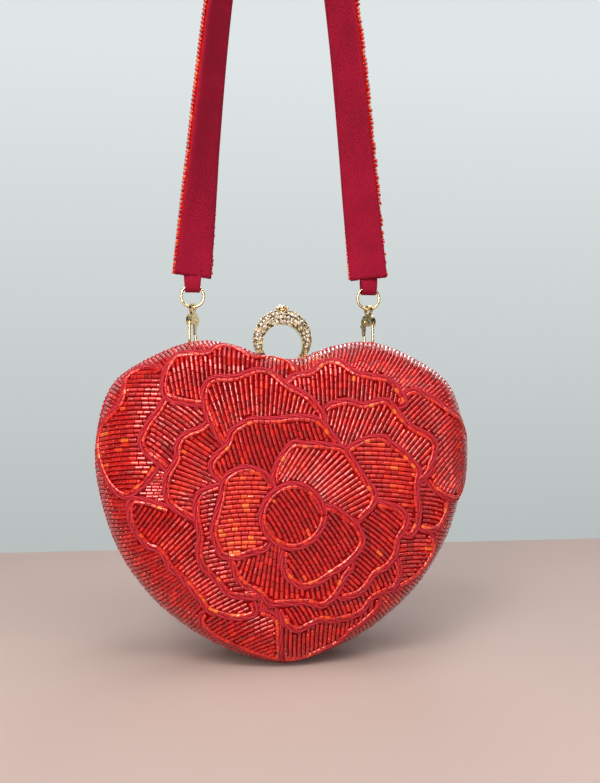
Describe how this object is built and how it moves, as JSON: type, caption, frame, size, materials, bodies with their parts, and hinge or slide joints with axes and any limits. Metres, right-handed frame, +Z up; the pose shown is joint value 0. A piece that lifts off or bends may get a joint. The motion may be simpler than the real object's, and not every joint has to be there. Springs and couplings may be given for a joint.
{
  "type": "heart shaped purse",
  "caption": "Heart shaped hard evening purse with beaded puffed covers, a finger ring clasp and a velvet strap on lobster hooks.",
  "frame": {"origin": "inside of the strap's arch, where the hanging purse is held", "axes": "+Z up along the hanging purse, +X to its right as seen from the front, front faces -Y"},
  "size_m": [0.1878, 0.0661, 0.4325],
  "materials": {
    "gold": "polished pale gold plate",
    "beads": "crimson bugle beads on cloth over padding",
    "velvet": "crimson velvet",
    "satin": "dark red satin",
    "board": "moulded plastic",
    "stones": "cut glass",
    "spring": "spring wire"
  },
  "bodies": {
    "strap": {"strap_backing": "velvet", "strap_bead_band": "beads", "strap_tab_left": "velvet", "strap_tab_right": "velvet"},
    "strap_ring_left": {"strap_ring_left": "gold"},
    "strap_ring_right": {"strap_ring_right": "gold"},
    "hook_left": {"hook_body_left": "gold", "hook_rivet_left": "gold", "hook_spring_left": "spring"},
    "hook_right": {"hook_body_right": "gold", "hook_rivet_right": "gold", "hook_spring_right": "spring"},
    "trigger_left": {"hook_trigger_left": "gold"},
    "trigger_right": {"hook_trigger_right": "gold"},
    "frame_ring_left": {"frame_ring_left": "gold"},
    "frame_ring_right": {"frame_ring_right": "gold"},
    "back_half": {"back_frame": "gold", "back_shell": "board", "back_cover": "beads", "back_lining": "satin", "hinge_pin": "gold", "clasp_bracket": "gold", "clasp_pin": "gold"},
    "front_half": {"front_frame": "gold", "front_shell": "board", "front_cover": "beads", "front_lining": "satin", "catch_stud": "gold"},
    "clasp_lever": {"clasp_lever": "gold", "clasp_spring": "spring", "finger_ring": "gold", "ring_stones": "stones", "ring_centre_setting": "gold", "ring_centre_stone": "stones"}
  },
  "joints": [
    {"name": "strap_ring_swing_left", "type": "hinge", "parent": "strap", "child": "strap_ring_left", "pos_m": [-0.04644, 0, -0.2373], "axis": [1, 0, 0], "range_deg": [-25, 25]},
    {"name": "hook_swing_left", "type": "hinge", "parent": "strap_ring_left", "child": "hook_left", "pos_m": [-0.04644, 0, -0.248], "axis": [1, 0, 0], "range_deg": [-20, 20]},
    {"name": "frame_ring_swing_left", "type": "hinge", "parent": "hook_left", "child": "frame_ring_left", "pos_m": [-0.04644, 0, -0.26694], "axis": [1, 0, 0], "range_deg": [-20, 20]},
    {"name": "trigger_press_left", "type": "hinge", "parent": "hook_left", "child": "trigger_left", "pos_m": [-0.04544, 0.00173, -0.2549], "axis": [-0.866, 0.5, 0], "range_deg": [0, 25], "stiffness_Nm_per_rad": 0.02, "springref_deg": -17.19},
    {"name": "strap_ring_swing_right", "type": "hinge", "parent": "strap", "child": "strap_ring_right", "pos_m": [0.04644, 0, -0.2373], "axis": [1, 0, 0], "range_deg": [-25, 25]},
    {"name": "hook_swing_right", "type": "hinge", "parent": "strap_ring_right", "child": "hook_right", "pos_m": [0.04644, 0, -0.248], "axis": [1, 0, 0], "range_deg": [-20, 20]},
    {"name": "frame_ring_swing_right", "type": "hinge", "parent": "hook_right", "child": "frame_ring_right", "pos_m": [0.04644, 0, -0.26694], "axis": [1, 0, 0], "range_deg": [-20, 20]},
    {"name": "trigger_press_right", "type": "hinge", "parent": "hook_right", "child": "trigger_right", "pos_m": [0.04544, 0.00173, -0.2549], "axis": [-0.866, -0.5, 0], "range_deg": [0, 25], "stiffness_Nm_per_rad": 0.02, "springref_deg": -17.19},
    {"name": "bag_swing", "type": "hinge", "parent": "frame_ring_left", "child": "back_half", "pos_m": [-0.04644, 0, -0.2709], "axis": [1, 0, 0], "range_deg": [-15, 6]},
    {"name": "front_opening", "type": "hinge", "parent": "back_half", "child": "front_half", "pos_m": [0, -0.00205, -0.42574], "axis": [1, 0, 0], "range_deg": [0, 60]},
    {"name": "clasp_lever_tilt", "type": "hinge", "parent": "back_half", "child": "clasp_lever", "pos_m": [0, 0.00055, -0.27696], "axis": [-1, 0, 0], "range_deg": [0, 18], "stiffness_Nm_per_rad": 0.1, "springref_deg": -17.19}
  ],
  "couplings": [
    {"joint": "strap_ring_swing_right", "follows": "strap_ring_swing_left", "ratio": 1},
    {"joint": "hook_swing_right", "follows": "hook_swing_left", "ratio": 1},
    {"joint": "frame_ring_swing_right", "follows": "frame_ring_swing_left", "ratio": 1}
  ]
}
